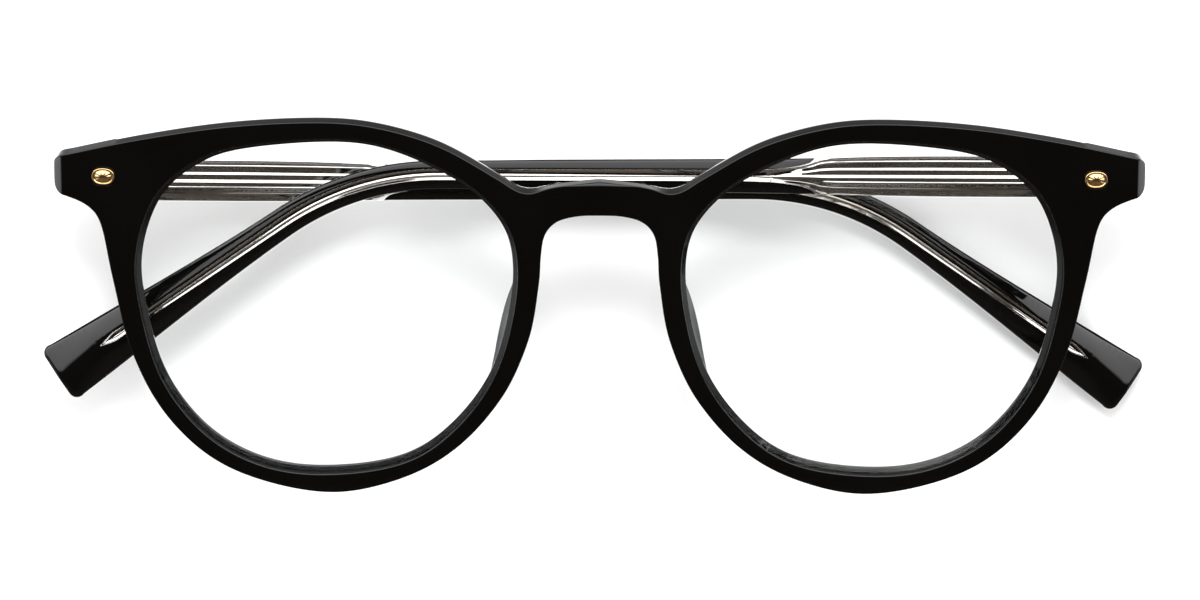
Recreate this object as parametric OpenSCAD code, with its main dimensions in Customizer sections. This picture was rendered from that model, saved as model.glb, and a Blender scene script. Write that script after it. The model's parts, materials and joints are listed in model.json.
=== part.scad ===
// Full-rim round eyeglasses, drawn as worn: +Z up, the wearer looks along -Y, the wearer's left is +X.
// The origin is the middle of the front, on the line through both lens centres.
// The temples are drawn folded behind the front, the left one inside and the right one over it.

/* [Front] */
// Width over both end pieces
front_w = 138; // [134:1:142]
// Height of one lens opening
opening_h = 42.8; // [41:0.2:44]
// Thickness of the front
front_t = 4; // [3.8:0.1:4.4]
// Radius that the front curves to, round the face
wrap_r = 500; // [450:10:700]
// Lean of the front, its top away from the face
lean = 10; // [8:1:12]

/* [Lenses] */
// Thickness of a lens
lens_t = 2; // [1.8:0.1:2.2]
// Radius of both lens surfaces
lens_r = 300; // [260:10:400]
// Depth of the groove that holds a lens
groove = 0.6; // [0.5:0.05:0.7]

/* [Temples] */
// Length from the butt end to the tip, along the temple
temple_len = 142; // [140:1:145]
// Thickness at the hinge
temple_t = 3.6; // [3.4:0.1:3.8]
// Height at the hinge
temple_h = 5.2; // [5:0.1:5.4]
// Height of the tip
tip_h = 7.8; // [7:0.2:8]
// Angle that the tail bends down over the ear
bend = 34.4; // [32:0.2:36]
// Angle that the folded left temple lies towards the front
left_fold = 1.5; // [1.4:0.1:1.6]
// Angle that the folded right temple lies away from the front
right_fold = 2.2; // [2.1:0.1:3]
// How much lower the right temple sits on its hinge than the left one
right_drop = 0.8; // [0:0.1:0.9]
// Angle that the right temple hangs down
right_droop = 0.2; // [0:0.1:0.6]

/* [Hinges] */
// Radius of the knuckles
knuckle_r = 1.25; // [1.2:0.01:1.28]
// Radius of the screw's shaft
screw_r = 0.7; // [0.6:0.05:0.75]
// Running clearance round the screw
play = 0.05; // [0.03:0.01:0.08]

/* [Hidden] */
left = 1;
right = -1;
slip = 0.02;          // gap between two pieces that are bonded together
smooth = 6;           // steps between two points of an outline
round_fn = 48;        // facets of small round features
wrap_fn = 360;        // facets of the large wrap and lens curves
through = 60;         // longer than any cut has to be

// Outlines are drawn for a 138 mm front with 42.8 mm openings, and stretched to the sizes above.
grow_x = front_w / 138;
grow_z = opening_h / 42.8;
half_w = front_w / 2;
lens_x = 34.5 * grow_x;
// One lens opening, round its own centre, with the temple side at +x.
opening_line = [[-0.5, 21.35], [11.1, 20.2], [16.8, 18], [21.6, 13.6], [24.1, 6], [23.4, -1.5],
                [20.9, -9.7], [15.4, -16.7], [8, -20.6], [-0.4, -21.45], [-10, -19.8],
                [-16.5, -15.3], [-21.6, -8.1], [-24, 1], [-24, 7.8], [-21.9, 12.2],
                [-17, 16.5], [-8.3, 20.4]];
// The upper edge of the front, from the middle of the bridge to the end piece.
upper_line = [[0, 16.2], [5, 15.7], [9.4, 15.05], [13.3, 17.2], [20.2, 21], [28.5, 23.3],
              [36, 23.75], [47, 23], [58, 21.2], [67.5, 19.1]];
// The lower edge, from the end piece round the rim and up the nose side to the middle of the arch.
lower_line = [[67.6, 13.7], [64.6, 12.4], [62.9, 10], [61.5, 3.1], [59.2, -6.2], [54.7, -14.6],
              [47, -20.9], [35, -23.85], [25.5, -22.1], [18.2, -18.1], [12.4, -11.6],
              [8.9, -4], [7.6, 3], [6.9, 8.9], [3.7, 11.5], [0, 11.9]];
corner_r = 1.4;       // rounding of the end piece's two outer corners

// Stud on the end piece: its place, an oval base, a smaller oval on top, a recess and a post.
stud_x = 62.5 * grow_x;
stud_u = 16.2 * grow_z;
stud_l = 2.9;
stud_r = 1.05;
stud_h = 0.45;
stud_step = 0.3;
recess_d = 0.25;
post_r = 0.5;
post_l = 1.5;

// Nose pad: a slim ellipsoid on the rim's back and a fuller one behind it, with their radii and tilts.
pad_root = [10.8, 2.2, -4.6];
pad_root_r = [0.9, 0.8, 8.6];
pad_root_tilt = 17;
pad_back = [11.5, 6, -4.6];
pad_back_r = [1.7, 1.5, 8.8];
pad_back_tilt = 16;

// Hinge axis, and the back face of the end piece just in front of it.
hinge_x = half_w - 5.2;
hinge_y = 9.3;
hinge_z = 17;
end_back = 7.6;
end_inner = hinge_x - 2.8;
end_low = 12.6;
end_h = 12;
// Three knuckles, of which the middle one is the temple's.
knuckle_h = 1.4;
knuckle_gap = 0.15;
pitch = knuckle_h + knuckle_gap;
leaf_w = 4.2;
leaf_t = 0.9;
leaf_h = 3 * knuckle_h + 2 * knuckle_gap;
anchor_r = 0.45;
anchor_l = 2.6;
anchor_z = 1.2;
head_r = 1.15;
head_h = 0.5;
slot_w = 0.3;
washer_r = 1.15;
washer_t = 0.11;

// Temple, in its own directions: s back along it, n outward, z up, from the hinge axis.
inner_n = 1.6;
outer_n = inner_n + temple_t;
butt_gap = 0.3;       // lets the temple open a little past square
butt_s = end_back - hinge_y + butt_gap;
taper_s = 12;         // where the inner side starts to thin
thin_n = 0.6;         // how much thinner the temple is behind its front third
bend_r = 35.5;
bend_s = 84.3;
arc_len = bend_r * bend * PI / 180;
tip_s = temple_len + butt_s;
tip_r = 1.1;
core_n0 = inner_n + 0.9;
core_n1 = core_n0 + 1.8;
core_front = 1.5;
tang_half = 1.3;
rib_r = 0.45;
rib_pitch = 1;
rib_end = 33.8;
black_front = 36;
needle_s = tip_s - 6.6;
point_l = 2.4;        // length of the needle's point
// Half heights along the temple: the whole temple, its clear part, and the metal core.
whole_half = [[-5, temple_h / 2], [17, temple_h / 2], [41, 0.43 * temple_h], [69, 0.385 * temple_h],
              [bend_s, 0.35 * temple_h], [105, 0.37 * temple_h], [tip_s, tip_h / 2]];
line_half = 0.7;
clear_half = [[-5, temple_h / 2], [17, temple_h / 2], [black_front, 0.439 * temple_h],
              [black_front + 0.6, 1.75], [black_front + 1.8, 1.35], [black_front + 3.5, 1.05],
              [black_front + 6, 0.8], [black_front + 10, line_half], [bend_s, line_half],
              [112, 0.62], [needle_s - point_l, 0.57], [needle_s, 0.1]];
core_half = [[-5, 1.98], [black_front - 2, 1.98], [black_front + 0.6, 1.3],
             [black_front + 2, 0.95], [black_front + 4, 0.7], [black_front + 8, 0.42],
             [112, 0.36], [needle_s - point_l - 0.5, 0.2]];

// Points of a smooth curve through p[1] and p[2], with p[0] and p[3] beyond them.
function curve(p, t) = 0.5 * (2 * p[1] + t * (p[2] - p[0])
    + t * t * (2 * p[0] - 5 * p[1] + 4 * p[2] - p[3])
    + t * t * t * (3 * p[1] - p[0] - 3 * p[2] + p[3]));

// A smooth line through every point of a list, open or closed.
function smooth_open(p) = [for (i = [0 : len(p) - 2], j = [0 : smooth - 1])
    curve([p[max(i - 1, 0)], p[i], p[i + 1], p[min(i + 2, len(p) - 1)]], j / smooth)];
function smooth_closed(p) = [for (i = [0 : len(p) - 1], j = [0 : smooth - 1])
    curve([for (k = [-1 : 2]) p[(i + k + len(p)) % len(p)]], j / smooth)];

function stretched(p) = [for (q = p) [q.x * grow_x, q.y * grow_z]];
function flipped(p) = [for (i = [len(p) - 1 : -1 : 0]) [-p[i].x, p[i].y]];

// A closed clockwise outline moved outward by d.
function outset(p, d) = [for (i = [0 : len(p) - 1])
    let (a = p[(i + len(p) - 1) % len(p)], b = p[(i + 1) % len(p)], e = (b - a) / norm(b - a))
    p[i] + d * [-e.y, e.x]];

function arc(c, r, a0, a1) = [for (i = [0 : 4]) let (a = a0 + (a1 - a0) * i / 4)
    c + r * [cos(a), sin(a)]];

// Half of the front's outer edge, clockwise from the bridge down the +x side.
function half_edge() = let (
    top = upper_line[len(upper_line) - 1] * grow_z,
    low = lower_line[0] * grow_z,
    cx = half_w - corner_r)
    concat(smooth_open(stretched(upper_line)),
           arc([cx, top.y - corner_r], corner_r, 80, 0),
           arc([cx, low.y + corner_r], corner_r, 0, -80),
           smooth_open(stretched(lower_line)));
function whole_edge() = concat(half_edge(), flipped(half_edge()));
function opening() = smooth_closed(stretched(opening_line));

// How far the curved front has gone back at a distance x from the middle, and its angle there.
function sag(x) = wrap_r - sqrt(wrap_r * wrap_r - x * x);
function wrap_angle(x) = asin(x / wrap_r);

// The temple's middle line in the (s, z) plane, and its direction, at a length u along it.
function angle_at(u) = max(0, min(bend, (u - bend_s) / bend_r * 180 / PI));
function middle_at(u) = let (a = angle_at(u))
    [min(u, bend_s) + bend_r * sin(a) + max(0, u - bend_s - arc_len) * cos(bend),
     -bend_r * (1 - cos(a)) - max(0, u - bend_s - arc_len) * sin(bend)];
function beside(u, d) = middle_at(u) + d * [sin(angle_at(u)), cos(angle_at(u))];

// Stations along a temple piece, closer together where its outline turns quickly.
function stations(u0, u1) = concat(
    [for (u = [u0, 17, 32, 34, 36, 36.3, 36.6, 37.2, 37.8, 38.6, 39.5, 41, 42, 44, 46, 55, 69])
        if (u >= u0 && u < min(u1, bend_s)) u],
    [for (i = [0 : 12]) let (u = bend_s + arc_len * i / 12) if (u > u0 && u < u1) u],
    [for (u = [112, 120, 128, needle_s - point_l]) if (u > u0 && u < u1 - 0.5) u]);

// The outline of a temple piece between two lengths, from its table of half heights.
function band(u0, u1, half) = let (us = concat(stations(u0, u1), [u1]))
    concat([for (u = us) beside(u, lookup(u, half))],
           [for (i = [len(us) - 1 : -1 : 0]) beside(us[i], -lookup(us[i], half))]);

// The whole temple's outline, with its tip's two corners rounded.
function temple_edge() = let (
    us = stations(butt_s, tip_s - tip_r),
    h = tip_h / 2 - tip_r,
    c = tip_s - tip_r)
    concat([for (u = us) beside(u, lookup(u, whole_half))],
           [for (a = [90 : -15 : 0]) beside(c + tip_r * cos(a), h + tip_r * sin(a))],
           [for (a = [0 : -15 : -90]) beside(c + tip_r * cos(a), -h + tip_r * sin(a))],
           [for (i = [len(us) - 1 : -1 : 0]) beside(us[i], -lookup(us[i], whole_half))]);

module mirrored(side) mirror([side < 0 ? 1 : 0, 0, 0]) children();

// Into the leaning plane of the front.
module leaning() rotate([lean, 0, 0]) children();

// A flat outline in x and z, made into a block through y.
module upright(points, depth) rotate([90, 0, 0]) linear_extrude(depth, center = true) polygon(points);

// The curved sheet of thickness t that the front is cut from.
module wrap_sheet(t) translate([0, wrap_r, 0]) difference() {
    cylinder(r = wrap_r + t / 2, h = through, center = true, $fn = wrap_fn);
    cylinder(r = wrap_r - t / 2, h = through + 1, center = true, $fn = wrap_fn);
}

// A lens, or the groove for it: an opening grown by edge, between two spheres.
module lens_shape(edge, t) intersection() {
    translate([lens_x, 0, 0]) upright(outset(opening(), edge), through);
    translate([lens_x, sag(lens_x), 0]) rotate([0, 0, wrap_angle(lens_x)])
        translate([0, lens_r, 0]) difference() {
            sphere(r = lens_r + t / 2, $fn = wrap_fn);
            sphere(r = lens_r - t / 2, $fn = wrap_fn);
        }
}

// On the front's face at the end piece, with +z outward.
module on_end_piece() leaning() translate([stud_x, sag(stud_x), stud_u])
    rotate([0, 0, wrap_angle(stud_x)]) rotate([90, 0, 0]) translate([0, 0, front_t / 2]) children();

module oval(length, r, h) {
    for (x = [-1, 1]) translate([x * (length / 2 - r), 0, 0]) cylinder(r = r, h = h, $fn = round_fn);
    translate([r - length / 2, -r, 0]) cube([length - 2 * r, 2 * r, h]);
}

// The front's outline as it looks square from ahead, at its back face.
function level_edge() = [for (q = whole_edge())
    [q.x, q.y * cos(lean) + (sag(q.x) + front_t / 2) * sin(lean)]];

// The end piece's solid block, that runs level back to the hinge.
module end_block() intersection() {
    leaning() upright(whole_edge(), through);
    upright(level_edge(), through);
    translate([end_inner, 1, end_low]) cube([half_w, end_back - 1, end_h]);
}

module at_hinge(side) mirrored(side) translate([hinge_x, hinge_y, hinge_z]) children();

// The front half of a hinge: leaf, two anchors and two knuckles.
module front_leaf(extra) {
    translate([-leaf_w / 2 - extra, end_back - hinge_y - leaf_t - extra, -leaf_h / 2 - extra])
        cube([leaf_w + 2 * extra, leaf_t + extra, leaf_h + 2 * extra]);
    for (z = [-anchor_z, anchor_z]) translate([0, end_back - hinge_y - leaf_t - anchor_l - extra, z])
        rotate([-90, 0, 0]) cylinder(r = anchor_r + extra, h = anchor_l + 0.2, $fn = round_fn);
}

module front_frame() color("black") difference() {
    union() {
        leaning() intersection() {
            difference() {
                upright(whole_edge(), through);
                for (side = [left, right]) mirrored(side)
                    translate([lens_x, 0, 0]) upright(opening(), through + 1);
            }
            wrap_sheet(front_t);
        }
        for (side = [left, right]) mirrored(side) end_block();
    }
    for (side = [left, right]) {
        leaning() mirrored(side) lens_shape(groove, lens_t + 0.1);
        mirrored(side) on_end_piece() translate([0, 0, -recess_d]) oval(stud_l + 0.2, stud_r + 0.1, 2);
        mirrored(side) on_end_piece() translate([0, 0, -post_l - 0.1])
            cylinder(r = post_r + slip, h = 2, $fn = round_fn);
        at_hinge(side) front_leaf(slip);
    }
}

module lens(side) color([0.85, 0.9, 0.95, 0.4]) leaning() mirrored(side)
    lens_shape(groove - 0.15, lens_t);

// A bonded nose pad: it starts on the rim's back and spreads outward behind the lens.
module nose_pad(side) color("dimgray") leaning() mirrored(side) intersection() {
    hull() {
        translate(pad_root) rotate([0, -pad_root_tilt, 0]) scale(pad_root_r) sphere(r = 1, $fn = 28);
        translate(pad_back) rotate([0, -pad_back_tilt, 0]) scale(pad_back_r) sphere(r = 1, $fn = 28);
    }
    translate([0, wrap_r, 0])
        cylinder(r = wrap_r - front_t / 2 - slip, h = through, center = true, $fn = wrap_fn);
}

// A domed oval stud with a post into the front.
module front_stud(side) color("gold") mirrored(side) on_end_piece() {
    translate([0, 0, slip - recess_d]) oval(stud_l, stud_r, stud_h);
    oval(stud_l - 2 * stud_step, stud_r - stud_step, stud_h);
    translate([0, 0, -post_l]) cylinder(r = post_r, h = post_l, $fn = round_fn);
}

module front_hinge(side) color("silver") at_hinge(side) difference() {
    union() {
        front_leaf(0);
        for (k = [-1, 1]) translate([0, 0, k * pitch - knuckle_h / 2]) {
            cylinder(r = knuckle_r, h = knuckle_h, $fn = round_fn);
            translate([-knuckle_r, end_back - hinge_y - 0.2, 0])
                cube([2 * knuckle_r, hinge_y - end_back + 0.2, knuckle_h]);
        }
    }
    cylinder(r = screw_r + play, h = 10, center = true, $fn = round_fn);
}

module hinge_screw(side) color("silver") at_hinge(side) difference() {
    union() {
        translate([0, 0, -leaf_h / 2]) cylinder(r = screw_r, h = leaf_h + head_h / 2, $fn = round_fn);
        translate([0, 0, leaf_h / 2 + slip]) cylinder(r = head_r, h = head_h, $fn = round_fn);
    }
    translate([0, 0, leaf_h / 2 + head_h]) cube([slot_w, 3 * head_r, head_h], center = true);
}

module hinge_washers(side) color("dimgray") at_hinge(side) for (k = [-1, 1])
    translate([0, 0, k * pitch / 2 - washer_t / 2]) difference() {
        cylinder(r = washer_r, h = washer_t, $fn = round_fn);
        translate([0, 0, -1]) cylinder(r = screw_r + play, h = 2, $fn = round_fn);
    }

// Onto a folded temple: children are drawn in (n, s, z) from the hinge axis.
module folded(side) at_hinge(side)
    rotate([0, 0, side == left ? 90 + left_fold : 90 - right_fold]) children();
module hung(side) translate([0, 0, side == left ? 0 : -right_drop])
    rotate([side == left ? 0 : -right_droop, 0, 0]) children();

// A temple outline in s and z, made into a slab from n0 to n1.
module slab(points, n0, n1) translate([n0, 0, 0]) rotate([90, 0, 90]) linear_extrude(n1 - n0) polygon(points);

// The temple's thickness seen from above: thinner on its inner side behind the front third.
module thickness() translate([0, 0, -2 * through / 3]) linear_extrude(through)
    polygon([[inner_n, butt_s], [outer_n, butt_s], [outer_n, tip_s], [inner_n + thin_n, tip_s],
             [inner_n + thin_n, bend_s], [inner_n, taper_s]]);

// The metal tang and arm that carry the temple's knuckle.
module tang(extra) {
    translate([0, -knuckle_r - extra, -knuckle_h / 2 - extra])
        cube([core_n1, 2 * knuckle_r + 2 * extra, knuckle_h + 2 * extra]);
    translate([core_n0, -knuckle_r - extra, -tang_half - extra])
        cube([core_n1 - core_n0, knuckle_r + core_front, 2 * (tang_half + extra)]);
}

module temple_hinge(side) color("silver") folded(side) difference() {
    union() {
        translate([0, 0, -knuckle_h / 2]) cylinder(r = knuckle_r, h = knuckle_h, $fn = round_fn);
        tang(0);
    }
    cylinder(r = screw_r + play, h = 10, center = true, $fn = round_fn);
}

// The metal core: a ribbed strip in the clear part, and a fine line from there to near the tip.
module temple_core(side) color("gainsboro") folded(side) hung(side) {
    slab(band(core_front + 2 * slip, needle_s - point_l - 0.6, core_half), core_n0 + rib_r, core_n1 - rib_r);
    for (k = [-1.5 : 1.5], n = [core_n0 + rib_r, core_n1 - rib_r])
        translate([n, core_front + 2 * slip, k * rib_pitch]) rotate([-90, 0, 0])
            cylinder(r = rib_r - slip, h = rib_end - core_front, $fn = round_fn);
}

module temple_clear(side) color([0.85, 0.88, 0.9, 0.5]) folded(side) difference() {
    hung(side) intersection() {
        slab(band(butt_s, needle_s, clear_half), 0, 10);
        thickness();
    }
    hung(side) slab(band(butt_s - 1, needle_s - point_l - 0.5, [for (h = core_half) h + [0, 2 * slip]]),
                    core_n0 - slip, core_n1 + slip);
    tang(2 * slip);
}

module temple_black(side) color("black") folded(side) hung(side) intersection() {
    difference() {
        slab(temple_edge(), 0, 10);
        slab(band(butt_s - 1, needle_s + 0.1, [for (h = clear_half) h + [0, slip]]), -1, 11);
        translate([-1, -5, -10]) cube([12, black_front + 5, 20]);
    }
    thickness();
}

front_frame();
lens(left);  // lens_left
lens(right);  // lens_right
nose_pad(left);  // nose_pad_left
nose_pad(right);  // nose_pad_right
front_stud(left);  // front_stud_left
front_stud(right);  // front_stud_right
front_hinge(left);  // front_hinge_left
front_hinge(right);  // front_hinge_right
hinge_screw(left);  // hinge_screw_left
hinge_screw(right);  // hinge_screw_right
hinge_washers(left);  // hinge_washers_left
hinge_washers(right);  // hinge_washers_right
temple_hinge(left);  // temple_hinge_left
temple_hinge(right);  // temple_hinge_right
temple_core(left);  // temple_core_left
temple_core(right);  // temple_core_right
temple_clear(left);  // temple_clear_left
temple_clear(right);  // temple_clear_right
temple_black(left);  // temple_black_left
temple_black(right);  // temple_black_right
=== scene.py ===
import json
import math

import bmesh
import bpy
import numpy as np
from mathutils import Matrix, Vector
from mathutils.geometry import delaunay_2d_cdt


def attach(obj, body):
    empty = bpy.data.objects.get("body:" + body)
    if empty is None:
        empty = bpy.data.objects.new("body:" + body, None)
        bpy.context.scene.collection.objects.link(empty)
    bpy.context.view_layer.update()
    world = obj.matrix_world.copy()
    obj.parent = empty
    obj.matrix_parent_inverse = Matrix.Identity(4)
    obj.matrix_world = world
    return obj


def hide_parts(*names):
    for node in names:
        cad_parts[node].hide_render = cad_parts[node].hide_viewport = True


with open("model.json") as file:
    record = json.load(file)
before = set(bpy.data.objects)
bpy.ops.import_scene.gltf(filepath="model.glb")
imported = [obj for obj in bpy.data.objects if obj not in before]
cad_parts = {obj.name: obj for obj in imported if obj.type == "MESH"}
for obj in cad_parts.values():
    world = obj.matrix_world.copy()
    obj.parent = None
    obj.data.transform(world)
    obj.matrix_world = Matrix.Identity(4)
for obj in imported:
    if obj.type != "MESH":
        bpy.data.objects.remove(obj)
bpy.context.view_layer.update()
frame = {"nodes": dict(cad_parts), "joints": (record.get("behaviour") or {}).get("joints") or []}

# Round acetate glasses, folded. Lengths are in millimetres and turn into metres when a mesh is made.
MM = 0.001

# The front, in its own leaning plane: x across, u up, and depth back through it.
FRONT_W = 138
FRONT_T = 4
WRAP_R = 500
LEAN = math.radians(10)
LENS_X = 34.5
LENS_R = 300
LENS_T = 2
GROOVE = 0.6
END_BACK = 7.6
LEVEL_FROM = 1.6
END_INNER = 61.0
END_LOW = 11.8
END_CORNER = 1.5
FACET_W = 1.15
FACET_SLOPE = 1.3
OPENING = [(-0.5, 21.35), (11.1, 20.2), (16.8, 18), (21.6, 13.6), (24.1, 6), (23.4, -1.5), (20.9, -9.7),
           (15.4, -16.7), (8, -20.6), (-0.4, -21.45), (-10, -19.8), (-16.5, -15.3), (-21.6, -8.1),
           (-24, 1), (-24, 7.8), (-21.9, 12.2), (-17, 16.5), (-8.3, 20.4)]
UPPER = [(0, 16.2), (5, 15.7), (9.4, 15.05), (13.3, 17.2), (20.2, 21), (28.5, 23.3), (36, 23.75),
         (47, 23), (58, 21.2), (67.5, 19.1)]
LOWER = [(67.6, 13.7), (64.6, 12.4), (62.9, 10), (61.5, 3.1), (59.2, -6.2), (54.7, -14.6),
         (47, -20.9), (35, -23.85), (25.5, -22.1), (18.2, -18.1), (12.4, -11.6), (8.9, -4),
         (7.6, 3), (7.3, 7), (6.8, 9.6), (5.3, 11.2), (2.7, 11.9), (0, 12)]
CORNER_R = 1.4
POINT_GAP = 0.35
# Between these distances from the middle the outer edge is round and is smoothed the most.
ROUND_START = (11, 14)
ROUND_END = (56, 60)
ROUND_PASSES = 45
OPENING_PASSES = 30
# Edge radii at the face and at the back, and how far the walls slope in towards each.
EDGE_R = 0.14
HOLE_R = 0.16
BACK_EDGE_R = 0.05
BACK_HOLE_R = 0.08
TOP_SLANT = 0.24
BACK_SLANT = 0.075
BACK_HOLE_SLANT = 0.04
# The depth at which the side wall changes its slope, and how sharply.
WALL_BREAK = 0.6
BREAK_R = 0.15
# The bridge's top edge is ground off down to a straight line at this height. That fades out between
# two distances from the middle, and leaves out the bridge's lower edge.
BRIDGE_LINE = 15.66
BRIDGE_SIDE = (6.5, 9)
BRIDGE_LOW = 13.5

# Hinge leaves, whose places come from the joints, and the gap left between pieces that touch.
LEAF_W = 4.2
LEAF_H = 4.5
LEAF_T = 0.9
SLIP = 0.02

# Studs.
STUD_X = 62.5
STUD_U = 16.2
STUD_L = 2.9
STUD_H = 2.1
RECESS = 0.25

# A temple: u along its middle line, d up from that line, n outward through it.
INNER_N = 1.6
OUTER_N = 5.2
THIN_N = 0.6
BUTT = -1.4
TAPER = 12
BEND_S = 84.3
BEND_R = 35.5
BEND = math.radians(34.4)
ARC = BEND_R * BEND
TIP = 140.6
TIP_R = 1.1
NEEDLE = 133.9
BLACK_FRONT = 36
LINE = 0.7
# The inner face falls away above and below the line, more roundly on the tail and at the tip.
FALL = 0.28
TAIL_ROUND = 0.09
SOFT = 0.15
TIP_SOFT = 0.5
TIP_LOWER = 0.6
# Edge radii: the black part's inner and outer face, its prongs and the seam, and the clear part.
INNER_R = 0.5
OUTER_R = 0.8
THIN_R = 0.03
CLEAR_R = 0.45
# Half heights along a temple: of the whole, of the clear part, and of the core from N0 to N1.
WHOLE = [(-5, 2.6), (17, 2.6), (41, 2.236), (69, 2.0), (84.3, 1.82), (105, 1.92), (TIP, 3.9)]
CLEAR = [(-5, 2.6), (17, 2.6), (36, 2.283), (36.6, 1.75), (37.8, 1.35), (39.5, 1.05), (42, 0.82),
         (46, 0.7), (BEND_S, 0.7), (112, 0.61), (NEEDLE - 4, 0.5), (NEEDLE - 2.5, 0.55), (NEEDLE - 2.2, 0.53),
         (NEEDLE, 0.03)]
CORE_N0 = 2.45
CORE_N1 = 4.3
CORE_HALF = [(-5, 2.45), (17, 2.45), (33, 2.25), (35.2, 2.0), (36.4, 1.5), (38, 1.1), (40, 0.86), (44, 0.7),
             (BEND_S, 0.68), (112, 0.59), (NEEDLE - 4, 0.47), (NEEDLE - 2.5, 0.45), (NEEDLE - 0.7, 0.04)]
# How far each temple is folded in from straight back, how much lower it sits, and how it droops.
FOLD = {"left": math.radians(91.5), "right": math.radians(87.8)}
DROP = {"left": 0, "right": 0.8}
DROOP = {"left": 0, "right": math.radians(0.2)}


# ---------------------------------------------------------------- lines in a plane

def curve(points, closed=False, steps=14):
    """A smooth line through every point."""
    p = np.array(points, float)
    count = len(p)
    out = []
    for i in range(count if closed else count - 1):
        if closed:
            a, b, c, d = (p[(i + k) % count] for k in (-1, 0, 1, 2))
        else:
            a, b, c, d = p[max(i - 1, 0)], p[i], p[i + 1], p[min(i + 2, count - 1)]
        for t in np.arange(steps) / steps:
            out.append(0.5 * (2 * b + t * (c - a) + t * t * (2 * a - 5 * b + 4 * c - d)
                              + t ** 3 * (3 * b - a - 3 * c + d)))
    if not closed:
        out.append(p[-1])
    return np.array(out)


def arc(centre, radius, start, end, steps=10):
    """Points on a circle, from one angle in degrees to another."""
    a = np.radians(np.linspace(start, end, steps))
    return np.column_stack([centre[0] + radius * np.cos(a), centre[1] + radius * np.sin(a)])


def even(line, gap):
    """A closed line again, with its points about gap apart."""
    line = np.vstack([line, line[:1]])
    run = np.concatenate([[0], np.cumsum(np.linalg.norm(np.diff(line, axis=0), axis=1))])
    at = np.linspace(0, run[-1], int(round(run[-1] / gap)) + 1)[:-1]
    return np.column_stack([np.interp(at, run, line[:, k]) for k in (0, 1)])


def softened(line, passes):
    """A closed line whose small bumps have been averaged out."""
    for _ in range(passes):
        line = 0.25 * np.roll(line, 1, axis=0) + 0.5 * line + 0.25 * np.roll(line, -1, axis=0)
    return line


def inward(loop):
    """Unit directions to the left of a closed line, which is the side that the material is on."""
    along = np.roll(loop, -1, axis=0) - np.roll(loop, 1, axis=0)
    along /= np.maximum(np.linalg.norm(along, axis=1, keepdims=True), 1e-9)
    return np.column_stack([-along[:, 1], along[:, 0]])


def table(rows, at):
    """A smooth value between the rows of a table, with no overshoot."""
    x, y = np.array(rows, float).T
    at = np.clip(np.asarray(at, float), x[0], x[-1])
    step = np.diff(x)
    slope = np.diff(y) / step
    lean = np.zeros(len(x))
    same = slope[:-1] * slope[1:] > 0
    lean[1:-1][same] = (2 * slope[:-1] * slope[1:] / (slope[:-1] + slope[1:] + 1e-12))[same]
    lean[0], lean[-1] = slope[0], slope[-1]
    i = np.clip(np.searchsorted(x, at) - 1, 0, len(x) - 2)
    t = (at - x[i]) / step[i]
    return (y[i] * (1 + 2 * t) * (1 - t) ** 2 + y[i + 1] * t * t * (3 - 2 * t)
            + step[i] * (lean[i] * t * (1 - t) ** 2 - lean[i + 1] * t * t * (1 - t)))


def ramp(at, start, end):
    """0 before start, 1 after end, and smooth between."""
    t = np.clip((np.asarray(at, float) - start) / (end - start), 0, 1)
    return t * t * (3 - 2 * t)


def within(points, loops):
    """Which points lie inside an odd number of the loops."""
    hit = np.zeros(len(points), bool)
    px, py = points[:, :1], points[:, 1:]
    for loop in loops:
        a, b = loop, np.roll(loop, -1, axis=0)
        rise = np.where(np.abs(b[:, 1] - a[:, 1]) < 1e-12, 1e-12, b[:, 1] - a[:, 1])
        spans = (a[:, 1] > py) != (b[:, 1] > py)
        cross = px < (b[:, 0] - a[:, 0]) * (py - a[:, 1]) / rise + a[:, 0]
        hit ^= (np.count_nonzero(spans & cross, axis=1) % 2).astype(bool)
    return hit


# ---------------------------------------------------------------- meshes

def smooth_piece(name, points, faces, body, replaced, material, weighted=True, grain=None):
    """A closed mesh with outward faces, on its body, in place of its CAD node.
    grain gives a place for each point, in millimetres, for textures that run along the piece."""
    mesh = bpy.data.meshes.new(name)
    mesh.from_pydata((np.asarray(points) * MM).tolist(), [], faces)
    held = mesh.attributes.new("grain", "FLOAT_VECTOR", "POINT")
    held.data.foreach_set("vector", (np.asarray(points if grain is None else grain) * MM).ravel())
    work = bmesh.new()
    work.from_mesh(mesh)
    bmesh.ops.remove_doubles(work, verts=work.verts, dist=1e-7)
    bmesh.ops.dissolve_degenerate(work, dist=1e-8, edges=work.edges)
    bmesh.ops.recalc_face_normals(work, faces=work.faces)
    work.to_mesh(mesh)
    work.free()
    mesh.shade_smooth()
    piece = bpy.data.objects.new(name, mesh)
    bpy.context.scene.collection.objects.link(piece)
    mesh.materials.append(material)
    if weighted:
        normals = piece.modifiers.new("even_shading", "WEIGHTED_NORMAL")
        normals.weight = 60
    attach(piece, body)
    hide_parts(replaced)


def bands(rings, size):
    """Quads between rings of the same size, given each ring's first point."""
    faces = []
    for a, b in zip(rings, rings[1:]):
        faces += [(a + i, a + (i + 1) % size, b + (i + 1) % size, b + i) for i in range(size)]
    return faces


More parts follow.
